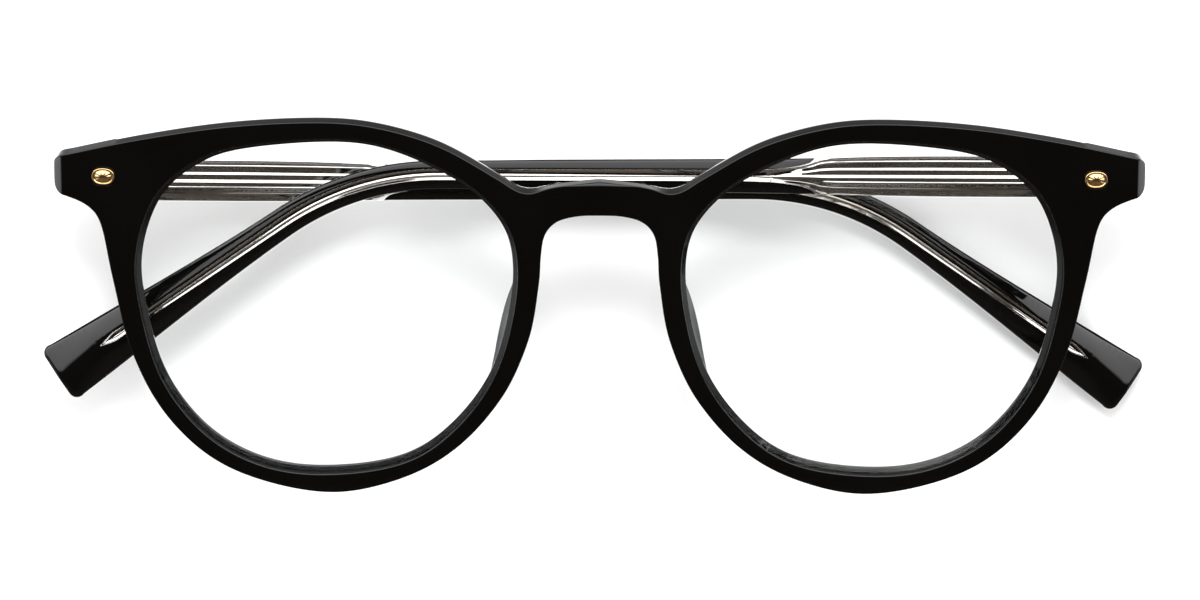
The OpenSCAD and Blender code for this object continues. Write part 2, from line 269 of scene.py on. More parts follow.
def fill(loops, lines, gap):
    """New points and triangles that fill closed loops, holding to the lines drawn on them."""
    edge = np.vstack(loops)
    starts = np.cumsum([0] + [len(loop) for loop in loops])
    joins = [(s + i, s + (i + 1) % (e - s)) for s, e in zip(starts, starts[1:]) for i in range(e - s)]
    points = [tuple(p) for p in edge]
    for line, closed in lines:
        line = np.asarray(line, float)
        line = line[within(line, loops)]
        if len(line) < 2:
            continue
        first = len(points)
        points += [tuple(p) for p in line]
        joins += [(first + i, first + i + 1) for i in range(len(line) - 1)]
        if closed:
            joins.append((first + len(line) - 1, first))
            continue
        for end, k in ((line[0], first), (line[-1], first + len(line) - 1)):
            joins.append((int(np.argmin(np.linalg.norm(edge - end, axis=1))), k))
    used = np.array(points)
    low, high = edge.min(axis=0), edge.max(axis=0)
    across, up = np.meshgrid(np.arange(low[0], high[0], gap), np.arange(low[1], high[1], gap))
    grid = np.column_stack([across.ravel(), up.ravel()])
    grid = grid[within(grid, loops)]
    if len(grid):
        clear = np.array([np.min(np.sum((used - g) ** 2, axis=1)) for g in grid]) > (0.45 * gap) ** 2
        points += [tuple(g) for g in grid[clear]]
    found = delaunay_2d_cdt([Vector(p) for p in points], joins, [], 0, 1e-7, True)
    flat = np.array([tuple(v) for v in found[0]])
    tris = np.array([tuple(f) for f in found[2]])
    tris = tris[within(flat[tris].mean(axis=1), loops)]
    own = [min(ids) if ids else -1 for ids in found[3]]
    return flat, tris, own, len(edge)


def plate(loops, near, far, near_r, far_r, near_lines=(), far_lines=(), wall=None, gap=1.2, turns=4,
          near_in=None, far_in=None):
    """Points (p, q, depth) and faces of a slab with rounded edges between a near and a far surface.
    wall(k, loop) may give extra rings for the side wall of loop k, as (outset, depth) pairs.
    near_in and far_in say how far inside its loop each edge of the near and the far face lies."""
    points, faces, caps = [], [], {"near": [], "far": []}
    total = 0
    for k, loop in enumerate(loops):
        left = inward(loop)
        rn = np.broadcast_to(near_r[k], len(loop))[:, None]
        rf = np.broadcast_to(far_r[k], len(loop))[:, None]
        inset_n = np.broadcast_to(near_in[k] if near_in else 0, len(loop))[:, None]
        inset_f = np.broadcast_to(far_in[k] if far_in else 0, len(loop))[:, None]
        angles = np.radians(np.linspace(90, 0, turns + 1))
        rings = []
        for a in angles:
            flat = loop + left * (inset_n + rn * (1 - math.cos(a)))
            rings.append((flat, near(flat) + rn[:, 0] * (1 - math.sin(a))))
        for out, depth in (wall(k, loop) if wall else ()):
            rings.append((loop - left * out, depth))
        for a in angles[::-1]:
            flat = loop + left * (inset_f + rf * (1 - math.cos(a)))
            rings.append((flat, far(flat) - rf[:, 0] * (1 - math.sin(a))))
        firsts = [total + i * len(loop) for i in range(len(rings))]
        for flat, depth in rings:
            points.append(np.column_stack([flat, depth]))
        faces += bands(firsts, len(loop))
        caps["near"].append((rings[0][0], firsts[0]))
        caps["far"].append((rings[-1][0], firsts[-1]))
        total += len(rings) * len(loop)
    for side, surface, lines in (("near", near, near_lines), ("far", far, far_lines)):
        rims = [flat for flat, _ in caps[side]]
        ids = np.concatenate([first + np.arange(len(flat)) for flat, first in caps[side]])
        flat, tris, own, edge = fill(rims, lines, gap)
        place = np.empty(len(flat), int)
        fresh = [i for i, o in enumerate(own) if o < 0 or o >= edge]
        for i, o in enumerate(own):
            if 0 <= o < edge:
                place[i] = ids[o]
        place[fresh] = total + np.arange(len(fresh))
        if fresh:
            inner = flat[fresh]
            points.append(np.column_stack([inner, surface(inner)]))
            total += len(fresh)
        faces += [tuple(int(place[i]) for i in t) for t in tris]
    return np.vstack(points), [f for f in faces if len(set(f)) == len(f)]


def loft(sections):
    """Points and faces of a closed tube through sections that all have the same number of points."""
    size = len(sections[0])
    last = (len(sections) - 1) * size
    faces = bands([i * size for i in range(len(sections))], size)
    faces.append(tuple(range(size)))
    faces.append(tuple(last + i for i in range(size)))
    return np.vstack(sections), faces


# ---------------------------------------------------------------- the front's plane

def sag(x):
    """How far the curved front has gone back at a distance x from its middle."""
    return WRAP_R - np.sqrt(WRAP_R ** 2 - np.asarray(x, float) ** 2)


def on_front(flat):
    """(x, u, depth) in the leaning plane to (x, y, z). The end blocks run level behind LEVEL_FROM."""
    x, u, depth = np.array(flat, float).T
    u -= ramp(np.abs(x), END_INNER - 4, END_INNER - 0.5) * np.maximum(0, depth - LEVEL_FROM) * math.tan(LEAN)
    back = sag(x) + depth / np.cos(np.arcsin(x / WRAP_R))
    return np.column_stack([x, back * math.cos(LEAN) - u * math.sin(LEAN),
                            back * math.sin(LEAN) + u * math.cos(LEAN)])


def front_edge():
    """The front's outer edge, with the material on its left."""
    top, low = UPPER[-1][1], LOWER[0][1]
    cx = FRONT_W / 2 - CORNER_R
    half = np.vstack([curve(UPPER)[:-1], arc((cx, top - CORNER_R), CORNER_R, 80, 0),
                      arc((cx, low + CORNER_R), CORNER_R, 0, -80), curve(LOWER)[1:]])
    line = even(np.vstack([half, (half * (-1, 1))[::-1][1:-1]])[::-1], POINT_GAP)
    across = np.abs(line[:, 0])
    round_part = (ramp(across, *ROUND_START) * (1 - ramp(across, *ROUND_END)))[:, None]
    return softened(line, 2) * (1 - round_part) + softened(line, ROUND_PASSES) * round_part


def opening(side):
    """One lens opening, with the material on its left."""
    line = curve(OPENING, closed=True) + (LENS_X, 0)
    line = line if side > 0 else (line * (-1, 1))[::-1]
    return softened(even(line, POINT_GAP), OPENING_PASSES)


def lens_depth(points):
    """Depth of the lens's middle surface in the front, at points of the leaning plane."""
    x, u = np.abs(points[:, 0]), points[:, 1]
    turn = math.asin(LENS_X / WRAP_R)
    back = np.zeros(len(points))
    for _ in range(3):
        across = (x - LENS_X) * math.cos(turn) + back * math.sin(turn)
        bulge = LENS_R - np.sqrt(LENS_R ** 2 - across ** 2 - u ** 2)
        back = across * math.sin(turn) + bulge * math.cos(turn)
    return sag(LENS_X) + back - sag(x)


def in_end(points):
    """How far inside the end piece's block a point lies."""
    a = END_INNER - np.abs(points[:, 0]) + END_CORNER
    b = END_LOW - points[:, 1] + END_CORNER
    outside = np.hypot(np.maximum(a, 0), np.maximum(b, 0)) - END_CORNER + np.minimum(np.maximum(a, b), 0)
    return -outside


def leaf_box(side, grow):
    """The hinge leaf's outline on the end piece's back."""
    corners = [(-1, -1), (1, -1), (1, 1), (-1, 1)]
    w, h = LEAF_W / 2 + grow, LEAF_H / 2 + grow
    box = np.array([(side * 1000 * HINGE[0] + i * w, 1000 * HINGE[2] + j * h) for i, j in corners])
    box[:, 1] = (box[:, 1] - (sag(box[:, 0]) + LEVEL_FROM) * math.sin(LEAN)) / math.cos(LEAN)
    return box


def oval(centre, length, height, steps=36):
    """A round-ended oval, as a closed line."""
    r = height / 2
    half = length / 2 - r
    right = arc((centre[0] + half, centre[1]), r, -90, 90, steps // 2)
    left = arc((centre[0] - half, centre[1]), r, 90, 270, steps // 2)
    return np.vstack([right, left])


def front_near(points):
    """Depth of the front face: flat, with a slanted facet at each end and a recess for each stud."""
    depth = np.full(len(points), -FRONT_T / 2)
    depth += FACET_SLOPE * np.maximum(0, np.abs(points[:, 0]) - (FRONT_W / 2 - FACET_W))
    for side in (-1, 1):
        hole = oval((side * STUD_X, STUD_U), STUD_L + 0.2, STUD_H + 0.2)
        depth = np.where(within(points, [hole]), depth + RECESS, depth)
    return depth


def front_far(points):
    """Depth of the back face: the rims' back, the end blocks, and the pockets for the hinge leaves."""
    x, u = points[:, 0], points[:, 1]
    rim = np.full(len(points), FRONT_T / 2)
    end = (END_BACK + u * math.sin(LEAN)) * math.cos(LEAN)
    end = end - (sag(x) + LEVEL_FROM) * math.cos(LEAN) ** 2 + LEVEL_FROM
    depth = rim + (end - rim) * ramp(in_end(points), 0, 0.35)
    for side in (-1, 1):
        depth = np.where(within(points, [leaf_box(side, 0.01)]), depth - LEAF_T / math.cos(LEAN), depth)
    return depth


def end_lines(offset):
    """The inner outline of both end blocks, moved into the block."""
    down = [(END_INNER + offset, u) for u in np.arange(26, END_LOW + END_CORNER, -0.4)]
    turn = arc((END_INNER + END_CORNER, END_LOW + END_CORNER), END_CORNER - offset, 180, 270, 7)
    out = [(x, END_LOW + offset) for x in np.arange(END_INNER + END_CORNER + 0.3, 70, 0.4)]
    line = np.vstack([down, turn, out])
    return [(line, False), (line * (-1, 1), False)]


def front_wall(k, loop):
    """Extra rings of the front's side walls: a change of slope outside, and the lens grooves inside."""
    if k == 0:
        behind = front_far(loop + 0.4 * inward(loop)) > FRONT_T
        turn = np.where(behind, LEVEL_FROM, WALL_BREAK)
        return [(0, turn - BREAK_R), (0, turn), (0, turn + BREAK_R)]
    middle = lens_depth(loop)
    return [(0, middle - 0.5), (GROOVE, middle - 0.3), (GROOVE, middle + 0.3), (0, middle + 0.5)]


def build_front(material):
    """Both rims, the bridge and the end pieces in one, with pockets for the hinges and the studs."""
    loops = [front_edge(), opening(1), opening(-1)]
    outer = loops[0]
    across = np.abs(outer[:, 0])
    upward = -inward(outer)[:, 1]
    bridge = (1 - ramp(across, *BRIDGE_SIDE)) * (outer[:, 1] > BRIDGE_LOW)
    ground = np.clip(outer[:, 1] - BRIDGE_LINE, 0.1, 0.6)
    near_r = [EDGE_R * (1 - bridge) + ground * bridge, HOLE_R, HOLE_R]
    near_in = [TOP_SLANT * ramp(upward, 0.2, 0.8) * (1 - bridge), 0, 0]
    far_r = [BACK_EDGE_R, BACK_HOLE_R, BACK_HOLE_R]
    far_in = [BACK_SLANT, BACK_HOLE_SLANT, BACK_HOLE_SLANT]

    # Lines that keep the facets, the stud recesses, the end blocks and the hinge pockets crisp.
    facet = FRONT_W / 2 - FACET_W
    near_lines = []
    for side in (-1, 1):
        for x in (facet - 0.15, facet - 0.03, facet + 0.03, facet + 0.15):
            near_lines.append(([(side * x, u) for u in np.arange(8, 24, 0.4)], False))
        for grow in (0.05, 0.16, 0.23, 0.34):
            near_lines.append((oval((side * STUD_X, STUD_U), STUD_L + grow, STUD_H + grow), True))
    far_lines = end_lines(0) + end_lines(0.18) + end_lines(0.35)
    for side in (-1, 1):
        far_lines += [(leaf_box(side, grow), True) for grow in (-0.12, 0, SLIP, 0.14)]
    points, faces = plate(loops, front_near, front_far, near_r, far_r, near_lines, far_lines,
                          front_wall, near_in=near_in, far_in=far_in)
    smooth_piece("front_acetate", on_front(points), faces, "front", "front_frame",
                 material)


# ---------------------------------------------------------------- lenses, nose pads, studs

def build_lens(name, side, material):
    """A lens whose bevelled edge sits in the rim's groove."""
    rim = opening(side)
    left = inward(rim)
    centre = np.array([side * LENS_X, 0.0])
    half = LENS_T / 2
    play, chamfer = 0.03, 0.06
    bevel_foot, bevel_tip = 0.42, 0.15
    behind = [(GROOVE - bevel_tip, bevel_tip), (-play, bevel_foot), (-play, half - chamfer),
              (-play - 0.05, half)]
    edges = [(out, -through) for out, through in behind[::-1]] + behind
    sizes = [0.06, 0.2, 0.4, 0.6, 0.8, 0.93]
    rings = []
    for size in sizes:
        flat = centre + (rim - centre) * size
        rings.append(np.column_stack([flat, lens_depth(flat) - half]))
    for out, through in edges:
        flat = rim - left * out
        rings.append(np.column_stack([flat, lens_depth(flat) + through]))
    for size in sizes[::-1]:
        flat = centre + (rim - centre) * size
        rings.append(np.column_stack([flat, lens_depth(flat) + half]))
    points, faces = loft(rings)
    word = "left" if side > 0 else "right"
    smooth_piece(name, on_front(points), faces, "front", "lens_" + word, material)


# Nose pad, by height in the leaning plane: how far across its lip is, and the middle of its root.
# It is PAD_DEEP deep and PAD_ROUND round at its lip. Its colour is painted light: lighter next to the rim,
# and dark from the depth PAD_DARK on.
PAD_DEEP = 3.4
PAD_ROUND = 0.75
PAD_DARK = 6.4
PAD_LIP = [(-15.8, 16.7), (-14.4, 15.7), (-12.2, 14.8), (-10.2, 14.1), (-7.15, 13.4), (-4.4, 12.9),
           (-0.24, 11.9), (3.5, 10.5), (4.6, 9.9)]
PAD_ROOT = [(-15.8, 16.3), (-11.6, 13.6), (-8, 11.7), (-4, 10.4), (0, 9.5), (4.6, 9.1)]


def build_pad(name, side, material):
    """A nose pad that grows out of the rim's back, with a hollow flank that spreads behind the lens."""
    low, high = PAD_LIP[0][0], PAD_LIP[-1][0]
    start = FRONT_T / 2 + SLIP
    t = np.linspace(0, 1, 16)
    turn = np.radians(np.linspace(0, 125, 9))[1:]
    belly = np.outer(np.sin(math.pi * t[1:]), (-0.25, 0.3))
    rings = []
    for v in np.sin(np.linspace(-math.pi / 2, math.pi / 2, 44)) * 0.9995:
        u = (low + high) / 2 + v * (high - low) / 2
        full = (1 - abs(v) ** 3) ** 0.5
        root, lip = float(table(PAD_ROOT, u)), float(table(PAD_LIP, u))
        deep, r = PAD_DEEP * full, PAD_ROUND * full
        flank = np.column_stack([root + r + (lip - root - r) * t ** 1.6, start + deep * t ** 0.62])
        edge = np.column_stack([lip - r + r * np.cos(turn), start + deep + 1.5 * r * np.sin(turn)])
        last, home = edge[-1], np.array((root - r, start))
        face = last + (home - last) * t[1:, None] + belly * full
        ring = np.vstack([flank, edge, face])
        rings.append(np.column_stack([side * ring[:, 0], np.full(len(ring), u), ring[:, 1]]))
    points, faces = loft(rings)
    # The pads lean with the front but don't follow its curve, so on_front isn't used here.
    x, u, depth = points.T
    placed = np.column_stack([x, depth * math.cos(LEAN) - u * math.sin(LEAN),
                              depth * math.sin(LEAN) + u * math.cos(LEAN)])
    word = "left" if side > 0 else "right"
    smooth_piece(name, placed, faces, "front", "nose_pad_" + word, material)


def build_stud(name, side, material):
    """An oval stud: a domed centre with shallow flutes inside a rounded border."""
    turn = np.linspace(0, 2 * math.pi, 96, endpoint=False)
    flutes, flute_deep, squareness = 10, 0.045, 0.85
    rings = []
    # From the border inwards: part of the full size, and height above the front.
    profile = [(0.985, -0.22), (1.0, -0.1), (1.0, 0.1), (0.97, 0.2), (0.9, 0.25), (0.83, 0.2), (0.78, 0.1),
               (0.72, 0.12), (0.6, 0.24), (0.45, 0.34), (0.3, 0.4), (0.15, 0.43), (0.04, 0.44)]
    for size, height in profile:
        flute = flute_deep * np.cos(flutes * turn) * math.exp(-((size - 0.55) / 0.16) ** 2)
        x = STUD_L / 2 * size * np.sign(np.cos(turn)) * np.abs(np.cos(turn)) ** squareness
        u = STUD_H / 2 * size * np.sign(np.sin(turn)) * np.abs(np.sin(turn)) ** squareness
        rings.append(np.column_stack([side * STUD_X + x, STUD_U + u, -FRONT_T / 2 - height - flute]))
    points, faces = loft(rings)
    word = "left" if side > 0 else "right"
    smooth_piece(name, on_front(points), faces, "front", "front_stud_" + word, material,
                 weighted=False)


# ---------------------------------------------------------------- temples

HINGE = frame["joints"][0]["pos_m"]


def on_temple(side, flat):
    """(u, d, n) of a folded temple to (x, y, z)."""
    u, d, n = np.asarray(flat, float).T
    turn = np.clip((u - BEND_S) / BEND_R, 0, BEND)
    rest = np.maximum(0, u - BEND_S - ARC)
    s = np.minimum(u, BEND_S) + BEND_R * np.sin(turn) + rest * math.cos(BEND) + d * np.sin(turn)
    z = -BEND_R * (1 - np.cos(turn)) - rest * math.sin(BEND) + d * np.cos(turn)
    drop, droop, fold = DROP[side], DROOP[side], FOLD[side]
    s, z = s * math.cos(droop) + z * math.sin(droop), z * math.cos(droop) - s * math.sin(droop) - drop
    x = 1000 * HINGE[0] + n * math.cos(fold) - s * math.sin(fold)
    y = 1000 * HINGE[1] + n * math.sin(fold) + s * math.cos(fold)
    return np.column_stack([x if side == "left" else -x, y, z + 1000 * HINGE[2]])


def inner_face(flat):
    """n of a temple's inner face: it thins behind the hinge, and slopes off above and below the line."""
    u, d = flat[:, 0], flat[:, 1]
    base = INNER_N + THIN_N * np.clip((u - TAPER) / (BEND_S - TAPER), 0, 1)
    tail = ramp(u, BEND_S - 8, BEND_S + ARC)
    tip = ramp(u, NEEDLE - 1, TIP)
    d = d + TIP_LOWER * tip
    soft = SOFT + TIP_SOFT * tip
    over = np.sqrt(np.maximum(np.abs(d) - LINE * (1 - tip), 0) ** 2 + soft ** 2) - soft
    behind_clear = ramp(u, 22, 40)
    return base + (FALL * over + TAIL_ROUND * tail * (1 - tip) * over ** 2) * behind_clear


def outer_face(flat):
    """n of a temple's outer face, which is flat."""
    return np.full(len(flat), OUTER_N)


def black_loop():
    """The black part's outline: round the tip, and forked round the clear line."""
    along = np.arange(BLACK_FRONT + 0.08, TIP - TIP_R, 0.5)
    half = table(WHOLE, along)
    c, h = TIP - TIP_R, WHOLE[-1][1] - TIP_R
    slot = np.arange(BLACK_FRONT + 0.08, NEEDLE, 0.25)
    gap = table(CLEAR, slot) + SLIP
    bottom = np.column_stack([along, -half])
    low_corner = arc((c, -h), TIP_R, -90, 0, 12)
    high_corner = arc((c, h), TIP_R, 0, 90, 12)
    top = np.column_stack([along, half])[::-1]
    upper_slot = np.column_stack([slot, gap])
    lower_slot = np.column_stack([slot, -gap])[::-1]
    return np.vstack([bottom, low_corner, high_corner, top, upper_slot, [(NEEDLE + 0.1, 0)], lower_slot])


def clear_loop():
    """The clear part's outline: the front third, then a line that ends in a needle."""
    along = np.concatenate([np.arange(BUTT, 34, 0.5), np.arange(34, 46, 0.2), np.arange(46, NEEDLE, 0.5),
                            [NEEDLE]])
    half = table(CLEAR, along)
    return np.vstack([np.column_stack([along, -half]), [(NEEDLE + 0.08, 0)],
                      np.column_stack([along, half])[::-1]])


def edge_radii(loop, outer):
    """Rounding of the black part: more on its outside than along the line, and little on its prongs."""
    u, d = loop[:, 0], loop[:, 1]
    prong = np.abs(table(WHOLE, u) - table(CLEAR, u))
    limit = np.where(u > NEEDLE, outer, 0.4 * prong + 0.01)
    on_outside = np.abs(d) > table(WHOLE, u) - 0.15
    on_outside |= u > NEEDLE + 1
    wide = np.minimum(np.where(on_outside, outer, THIN_R), limit)
    for _ in range(3):
        wide = (np.roll(wide, 1) + wide + np.roll(wide, -1)) / 3
    return np.minimum(wide, limit)


def build_temple(side, materials):
    """One temple: the black part, the clear part, and the metal core inside it."""
    body = side + "_temple"
    loop = even(black_loop(), 0.3)
    near_r = edge_radii(loop, INNER_R)
    far_r = edge_radii(loop, OUTER_R)
    points, faces = plate([loop], inner_face, outer_face, [near_r], [far_r], gap=0.9)
    smooth_piece("temple_black_acetate_" + side, on_temple(side, points), faces, body,
                 "temple_black_" + side, materials["black"], grain=points)

    loop = even(clear_loop(), 0.3)
    front = 1 - ramp(loop[:, 0], 33, 35.8)
    radius = np.maximum(THIN_R, CLEAR_R * front)
    points, faces = plate([loop], inner_face, outer_face, [radius], [radius * 1.4], gap=0.9)
    smooth_piece("temple_clear_acetate_" + side, on_temple(side, points), faces, body,
                 "temple_clear_" + side, materials["clear"], grain=points)

    points, faces = core_mesh()
    smooth_piece("temple_metal_core_" + side, on_temple(side, points), faces, body,
                 "temple_core_" + side, materials["core"], weighted=False, grain=points)


# How far the core's surface lies behind its crests, from its top edge down, in parts of its half height.
RIBS = [(1.0, 0.01), (0.857, 0.022), (0.763, 0), (0.461, 0.035), (0.318, 0), (0.078, 0.04), (-0.106, 0),
        (-0.27, 0.024), (-0.367, 0.006), (-0.437, 0.014), (-0.54, 0), (-0.61, 0.012), (-0.67, 0.002),
        (-1.0, 0.08)]
STRIP = [(1.0, 0.39), (-0.1, 0), (-0.55, 0.13), (-0.95, 0.075), (-1.0, 0.1)]


def core_mesh():
    """The core: a ribbed plate that narrows to a strip, sunk a little, and then to a needle."""
    count = 101
    strip_sink = 0.35
    down = np.linspace(1, -1, count)
    ribs = np.interp(down[::-1], *np.array(RIBS[::-1]).T)[::-1]
    strip = np.interp(down[::-1], *np.array(STRIP[::-1]).T)[::-1]
    along = np.concatenate([np.arange(1.5, 33, 1.5), np.arange(33, 46, 0.3), np.arange(46, BEND_S, 2),
                            np.arange(BEND_S, BEND_S + ARC, 0.7), np.arange(BEND_S + ARC, NEEDLE - 3, 2),
                            np.linspace(NEEDLE - 3, NEEDLE - 0.4, 9)])
    sections = []
    for u in along:
        half = float(table(CORE_HALF, u))
        mix = float(ramp(u, 33.5, 41))
        relief = (ribs * (1 - mix) + strip * mix) * half
        near = np.column_stack([np.full(count, u), half * down, CORE_N0 + strip_sink * mix + relief])
        far = np.column_stack([np.full(count, u), half * down[::-1], CORE_N1 - relief[::-1]])
        sections.append(np.vstack([near, far]))
    return loft(sections)


# ---------------------------------------------------------------- materials

ACETATE_IOR = 1.49
# Heights of bumps, in metres.
FINE_BUMP = 0.0002
METAL_BUMP = 0.0001
TINY_BUMP = 0.00005


def shader(name):
    """A new material, its node tree, and its principled shader."""
    material = bpy.data.materials.new(name)
    material.use_nodes = True
    return material, material.node_tree, material.node_tree.nodes["Principled BSDF"]


def feed(tree, made, **inputs):
    """Sets or links a node's inputs, by name with underscores for spaces, or by number as i0, i1, ..."""
    for key, value in inputs.items():
        numbered = key[0] == "i" and key[1:].isdigit()
        slot = made.inputs[int(key[1:]) if numbered else key.replace("_", " ")]
        if isinstance(value, bpy.types.NodeSocket):
            tree.links.new(value, slot)
        else:
            slot.default_value = value


def node(tree, kind, settings=None, **inputs):
    """A new node with its settings made and its inputs fed."""
    made = tree.nodes.new("ShaderNode" + kind)
    for key, value in (settings or {}).items():
        setattr(made, key, value)
    feed(tree, made, **inputs)
    return made


def noise(tree, scale, detail=4, stretch=(1, 1, 1), roughness=0.55, along=False):
    """Noise in object coordinates, which are the frame's own at rest, or along a piece's grain."""
    if along:
        place = node(tree, "Attribute", {"attribute_name": "grain"}).outputs["Vector"]
    else:
        place = node(tree, "TexCoord").outputs["Object"]
    sized = node(tree, "Mapping", Vector=place, Scale=stretch)
    return node(tree, "TexNoise", Vector=sized.outputs[0], Scale=scale, Detail=detail, Roughness=roughness)


def rgb(colour):
    """A colour as a node takes it: a socket stays, and three numbers get an alpha of one."""
    return colour if isinstance(colour, bpy.types.NodeSocket) else (*colour, 1)


def blend(tree, amount, low, high):
    """A colour between two, by an amount."""
    return node(tree, "Mix", {"data_type": "RGBA"}, i0=amount, i6=rgb(low), i7=rgb(high)).outputs[2]


def between(tree, amount, low, high):
    """A number between two, by an amount."""
    return node(tree, "MapRange", Value=amount, To_Min=low, To_Max=high).outputs[0]


def bump(tree, height, strength, distance):
    """A normal that follows a height."""
    return node(tree, "Bump", Height=height, Strength=strength, Distance=distance).outputs[0]


def black_acetate():
    """Polished black acetate: a deep gloss with faint cloudiness, polishing waves and a few dust specks."""
    material, tree, bsdf = shader("black_acetate")
    specks = node(tree, "TexVoronoi", {"feature": "F1"}, Scale=320,
                  Vector=node(tree, "TexCoord").outputs["Object"]).outputs[0]
    dust = node(tree, "MapRange", Value=specks, From_Min=0.05, From_Max=0.03).outputs[0]
    sparse = noise(tree, 140, 1).outputs[0]
    rare = node(tree, "MapRange", Value=sparse, From_Min=0.62, From_Max=0.66).outputs[0]
    dusty = node(tree, "Math", {"operation": "MULTIPLY"}, i0=dust, i1=rare).outputs[0]
    clean = blend(tree, noise(tree, 90, 3).outputs[0], (0.0006, 0.0006, 0.0006), (0.0016, 0.0016, 0.0014))
    feed(tree, bsdf, IOR=ACETATE_IOR,
         Base_Color=blend(tree, dusty, clean, (0.22, 0.21, 0.2)),
         Roughness=between(tree, noise(tree, 700, 5).outputs[0], 0.015, 0.045),
         Normal=bump(tree, noise(tree, 260, 2).outputs[0], 0.02, FINE_BUMP))
    return material


def pad_acetate():
    """Smoky nose pads, with a softer gloss than the rims. Their colour is painted lighter next to the rims, a
    painted glow where light gathers, and darkens further back.
    """
    material, tree, bsdf = shader("pad_acetate")
    place = node(tree, "TexCoord").outputs["Object"]
    depth = node(tree, "VectorMath", {"operation": "DOT_PRODUCT"}, i0=place,
                 i1=(0, math.cos(LEAN), math.sin(LEAN))).outputs["Value"]
    # Painted light: the colour is lighter next to the rim and darkens back to PAD_DARK, and a random cloudy
    # tone is mixed in on top.
    behind = node(tree, "MapRange", Value=depth, From_Min=FRONT_T / 2 * MM,
                  From_Max=PAD_DARK * MM).outputs[0]
    smoke_and_painted_light = node(tree, "Math", {"operation": "MULTIPLY_ADD"}, i0=noise(tree, 160, 4).outputs[0], i1=0.3,
                 i2=behind).outputs[0]
    feed(tree, bsdf, IOR=ACETATE_IOR, Coat_Weight=0.6, Coat_Roughness=0.08,
         Base_Color=blend(tree, smoke_and_painted_light, (0.5, 0.51, 0.52), (0.02, 0.021, 0.023)),
         Roughness=between(tree, noise(tree, 900, 4).outputs[0], 0.12, 0.22),
         Normal=bump(tree, noise(tree, 420, 3).outputs[0], 0.08, FINE_BUMP))
    return material


def show(tree, surface):
    """Makes a shader the material's surface."""
    tree.links.new(surface, tree.nodes["Material Output"].inputs["Surface"])


def see_through(tree, surface, tint):
    """Lets light pass straight through for shadows, so that clear pieces cast only a faint one."""
    clear = node(tree, "BsdfTransparent", Color=(*tint, 1))
    path = node(tree, "LightPath")
    mix = node(tree, "MixShader", i0=path.outputs["Is Shadow Ray"], i1=surface, i2=clear.outputs[0])
    show(tree, mix.outputs[0])


def clear_acetate():
    """Clear acetate with a faint warm tint, cloudiness and polishing waves."""
    material, tree, bsdf = shader("clear_acetate")
    feed(tree, bsdf, IOR=1.47, Transmission_Weight=1,
         Base_Color=blend(tree, noise(tree, 120, 3).outputs[0], (0.985, 0.985, 0.98), (0.955, 0.955, 0.95)),
         Roughness=between(tree, noise(tree, 800, 4).outputs[0], 0.0, 0.02),
         Normal=bump(tree, noise(tree, 300, 2).outputs[0], 0.03, FINE_BUMP))
    see_through(tree, bsdf.outputs[0], (0.86, 0.86, 0.86))
    return material


def clear_lens():
    """A thin coated lens: clear, with faint smears and a weak cool reflection, more at grazing angles."""
    material, tree, bsdf = shader("clear_lens")
    facing = node(tree, "Fresnel", IOR=1.5).outputs[0]
    smear = between(tree, noise(tree, 60, 4, (1, 1, 0.4)).outputs[0], 0.16, 0.3)
    amount = node(tree, "Math", {"operation": "MULTIPLY"}, i0=facing, i1=smear).outputs[0]
    shine = node(tree, "BsdfGlossy", Color=(0.95, 0.98, 1, 1),
                 Roughness=between(tree, noise(tree, 500, 3).outputs[0], 0.01, 0.05))
    clear = node(tree, "BsdfTransparent", Color=(0.985, 0.99, 0.988, 1))
    mix = node(tree, "MixShader", i0=amount, i1=clear.outputs[0], i2=shine.outputs[0])
    show(tree, mix.outputs[0])
    tree.nodes.remove(bsdf)
    return material


def metal(name, low, high, rough, grain, stretch, strength, along=False):
    """Metal with brushed grain: colour, roughness and bump follow the same stretched noise."""
    material, tree, bsdf = shader(name)
    brushed = noise(tree, grain, 5, stretch, along=along).outputs[0]
    feed(tree, bsdf, Metallic=1, Base_Color=blend(tree, brushed, low, high),
         Roughness=between(tree, brushed, *rough), Normal=bump(tree, brushed, strength, METAL_BUMP))
    return material


def screw_metal():
    """Steel with turned rings round the screw's axis."""
    material, tree, bsdf = shader("screw_steel")
    place = node(tree, "TexCoord").outputs["Object"]
    middle = Vector(HINGE)
    flip = node(tree, "VectorMath", {"operation": "ABSOLUTE"}, i0=place).outputs[0]
    moved = node(tree, "Mapping", Vector=flip, Location=(-middle.x, -middle.y, 0)).outputs[0]
    rings = node(tree, "TexWave", {"wave_type": "RINGS", "rings_direction": "Z"}, Vector=moved,
                 Scale=1600, Distortion=0.4, Detail=2).outputs[0]
    feed(tree, bsdf, Metallic=1, Base_Color=blend(tree, rings, (0.45, 0.45, 0.46), (0.62, 0.62, 0.63)),
         Roughness=between(tree, rings, 0.18, 0.32), Normal=bump(tree, rings, 0.15, TINY_BUMP))
    return material


def washer_nylon():
    """Milky nylon with a fine moulded texture."""
    material, tree, bsdf = shader("washer_nylon")
    grain = noise(tree, 2500, 4).outputs[0]
    feed(tree, bsdf, Subsurface_Weight=0.3, Subsurface_Scale=0.0005,
         Base_Color=blend(tree, grain, (0.5, 0.5, 0.48), (0.62, 0.61, 0.58)),
         Roughness=between(tree, grain, 0.4, 0.6), Normal=bump(tree, grain, 0.2, TINY_BUMP))
    return material


def sheet_white():
    """A plain pale surface that can be seen only from the front, so that it never hides the glasses."""
    material, tree, bsdf = shader("pale_sheet")
    cloud = noise(tree, 6, 3).outputs[0]
    feed(tree, bsdf, Roughness=0.9, Specular_IOR_Level=0.1,
         Base_Color=blend(tree, cloud, (0.9, 0.9, 0.905), (0.94, 0.94, 0.945)))
    clear = node(tree, "BsdfTransparent")
    back = node(tree, "NewGeometry").outputs["Backfacing"]
    mix = node(tree, "MixShader", i0=back, i1=bsdf.outputs[0], i2=clear.outputs[0])
    show(tree, mix.outputs[0])
    return material


# ---------------------------------------------------------------- studio

